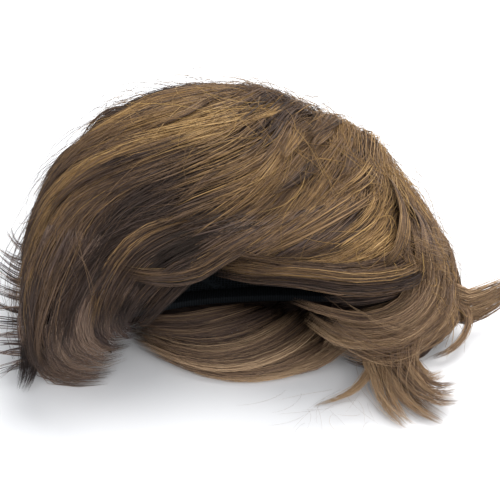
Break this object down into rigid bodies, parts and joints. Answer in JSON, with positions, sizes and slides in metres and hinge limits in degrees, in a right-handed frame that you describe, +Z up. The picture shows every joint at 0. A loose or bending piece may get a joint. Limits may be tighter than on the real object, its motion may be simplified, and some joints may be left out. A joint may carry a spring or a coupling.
{
  "type": "short wig",
  "caption": "Short layered wig lying on its side, its hair in swept locks with flipped ends, sewn to a hollow black cap whose mouth is open.",
  "frame": {"origin": "middle of the underside of the box of the wig as it lies, on the surface that it lies on", "axes": "+Z up, -Y the way that the mouth of the cap faces, -X towards the fringe and +X towards the nape"},
  "size_m": [0.334, 0.2738, 0.1318],
  "materials": {
    "cap_net": "black knitted net",
    "band_tape": "black woven tape",
    "top_fibre": "golden brown hair fibre, satin",
    "fringe_fibre": "dark brown hair fibre, satin",
    "nape_fibre": "light brown hair fibre, satin",
    "under_fibre": "brown hair fibre, satin"
  },
  "bodies": {
    "root": {"cap": "cap_net", "edge_band": "band_tape", "top_hair": "top_fibre", "fringe_hair": "fringe_fibre", "nape_hair": "nape_fibre", "under_hair": "under_fibre"}
  },
  "joints": []
}
